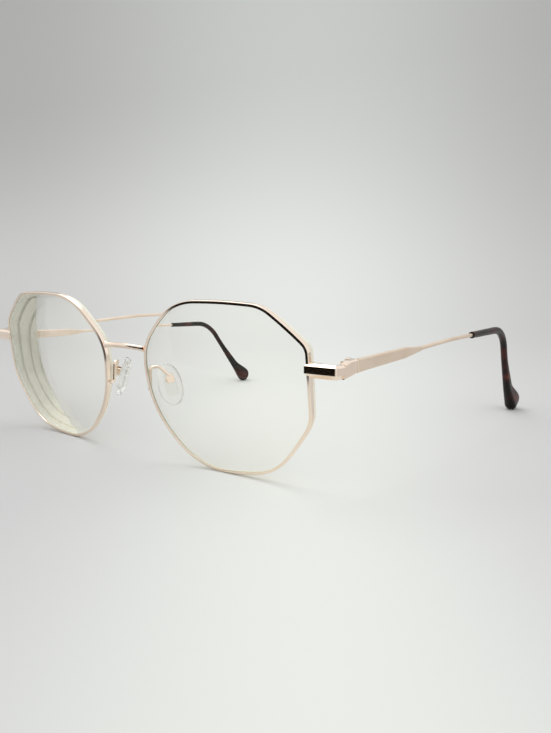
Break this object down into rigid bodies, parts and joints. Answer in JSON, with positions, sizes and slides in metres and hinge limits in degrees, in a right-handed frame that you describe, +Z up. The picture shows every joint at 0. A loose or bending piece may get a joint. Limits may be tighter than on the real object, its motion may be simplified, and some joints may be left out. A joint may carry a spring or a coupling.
{
  "type": "octagonal eyeglasses",
  "caption": "Thin metal eyeglasses with octagonal rims, clear minus lenses, adjustable nose pads and folding temples with tortoise tips.",
  "frame": {"origin": "on the ground under the middle of the bounding box, the frame standing on its rims and on the ends of its temples", "axes": "+X towards the wearer's left, -Y out of the front of the lenses, +Y back along the temples, +Z up"},
  "size_m": [0.1418, 0.1474, 0.047],
  "materials": {
    "polished_gold": "polished pale rose-gold plating",
    "satin_gold": "satin pale rose-gold plating",
    "lens_clear": "polished, faintly cream",
    "tortoise_plastic": "polished dark tortoise",
    "clear_silicone": "clear soft silicone",
    "pad_core": "translucent nylon"
  },
  "bodies": {
    "front": {"bridge": "polished_gold", "left_rim": "polished_gold", "right_rim": "polished_gold", "left_rim_screw": "polished_gold", "right_rim_screw": "polished_gold", "left_lens": "lens_clear", "right_lens": "lens_clear", "left_end_piece": "polished_gold", "right_end_piece": "polished_gold", "left_front_hinge": "polished_gold", "right_front_hinge": "polished_gold", "left_hinge_screw": "polished_gold", "right_hinge_screw": "polished_gold", "left_pad_arm": "polished_gold", "right_pad_arm": "polished_gold", "left_pad_box": "polished_gold", "right_pad_box": "polished_gold", "left_pad_screw": "polished_gold", "right_pad_screw": "polished_gold"},
    "left_pad": {"left_nose_pad": "clear_silicone", "left_pad_insert": "pad_core"},
    "left_temple_arm": {"left_temple": "satin_gold", "left_rear_hinge": "polished_gold", "left_temple_tip": "tortoise_plastic"},
    "right_pad": {"right_nose_pad": "clear_silicone", "right_pad_insert": "pad_core"},
    "right_temple_arm": {"right_temple": "satin_gold", "right_rear_hinge": "polished_gold", "right_temple_tip": "tortoise_plastic"}
  },
  "joints": [
    {"name": "left_temple_fold", "type": "hinge", "parent": "front", "child": "left_temple_arm", "pos_m": [0.0681, -0.05945, 0.03188], "axis": [0, 0, 1], "range_deg": [0, 88]},
    {"name": "right_temple_fold", "type": "hinge", "parent": "front", "child": "right_temple_arm", "pos_m": [-0.0681, -0.05945, 0.03188], "axis": [0, 0, -1], "range_deg": [0, 80]},
    {"name": "left_pad_rock", "type": "hinge", "parent": "front", "child": "left_pad", "pos_m": [0.0113, -0.06415, 0.02322], "axis": [-0.5105, -0.8371, -0.1965], "range_deg": [-8, 8]},
    {"name": "right_pad_rock", "type": "hinge", "parent": "front", "child": "right_pad", "pos_m": [-0.0113, -0.06415, 0.02322], "axis": [-0.5105, 0.8371, 0.1965], "range_deg": [-8, 8]}
  ]
}
